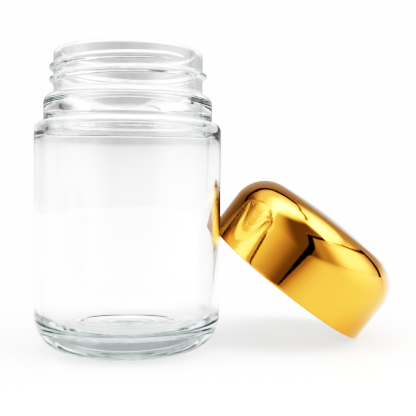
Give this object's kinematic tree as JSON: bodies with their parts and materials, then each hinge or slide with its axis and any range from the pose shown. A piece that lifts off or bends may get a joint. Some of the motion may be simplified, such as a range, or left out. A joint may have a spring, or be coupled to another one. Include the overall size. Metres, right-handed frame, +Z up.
{
  "type": "empty candle jar with screw cap",
  "caption": "Empty clear glass candle jar with a stepped screw neck, and its domed gold metal screw cap leaning against it.",
  "frame": {"origin": "on the jar's axis, in the plane of the ring that it stands on", "axes": "+Z up along the jar's axis to its mouth; +X the way the cap leans away from the jar; the cap tilts in a plane parallel to XZ"},
  "size_m": [0.1609, 0.1179, 0.13],
  "materials": {
    "clear_glass": "clear moulded glass, smooth, with slight waves",
    "gold_metal": "mirror-polished, gold-anodised sheet metal",
    "white_plastic": "semi-gloss moulded polypropylene",
    "foam_liner": "matte expanded polyethylene foam"
  },
  "bodies": {
    "jar": {"jar": "clear_glass"},
    "liner": {"liner": "foam_liner"},
    "cap": {"cap_shell": "gold_metal", "cap_insert": "white_plastic"}
  },
  "joints": [
    {"name": "cap_tip", "type": "hinge", "parent": "jar", "child": "liner", "pos_m": [0.10435, 0.0334, 0.0006], "axis": [0, 1, 0], "range_deg": [0, 53]},
    {"name": "cap_turn", "type": "hinge", "parent": "liner", "child": "cap", "pos_m": [0.06996, 0.0334, 0.02576], "axis": [0.6018, 0, 0.7986], "continuous": true}
  ]
}
